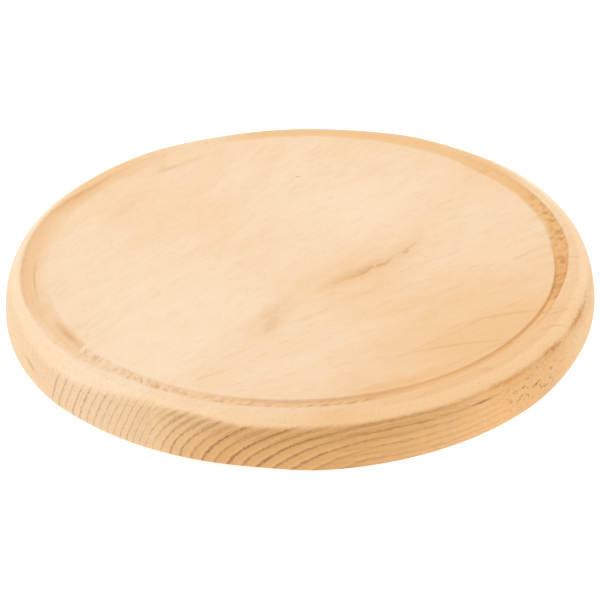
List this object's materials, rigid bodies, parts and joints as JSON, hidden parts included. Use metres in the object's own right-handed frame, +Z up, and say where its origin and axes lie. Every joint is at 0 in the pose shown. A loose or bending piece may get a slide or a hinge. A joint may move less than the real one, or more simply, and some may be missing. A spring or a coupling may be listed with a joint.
{
  "type": "cutting board",
  "caption": "Small round wooden cutting board, staves glued edge to edge, with a rounded rim and a shallow juice groove round the flat top.",
  "frame": {"origin": "centre of the flat underside, which the board stands on", "axes": "+Z up out of the cutting face, +X along the grain and the glue lines, +Y across them"},
  "size_m": [0.19, 0.19, 0.018],
  "materials": {
    "pale_stave_wood": "sanded, bare or thinly oiled, pale with straight grain",
    "straight_stave_wood": "sanded, bare or thinly oiled, upright rings on the rim",
    "warm_stave_wood": "sanded, bare or thinly oiled, warmer, arching rings on the rim",
    "cured_glue": "thin clear amber film, flush with the wood"
  },
  "bodies": {
    "root": {"far_stave": "pale_stave_wood", "middle_stave": "straight_stave_wood", "near_stave": "warm_stave_wood", "far_glue_line": "cured_glue", "near_glue_line": "cured_glue"}
  },
  "joints": []
}
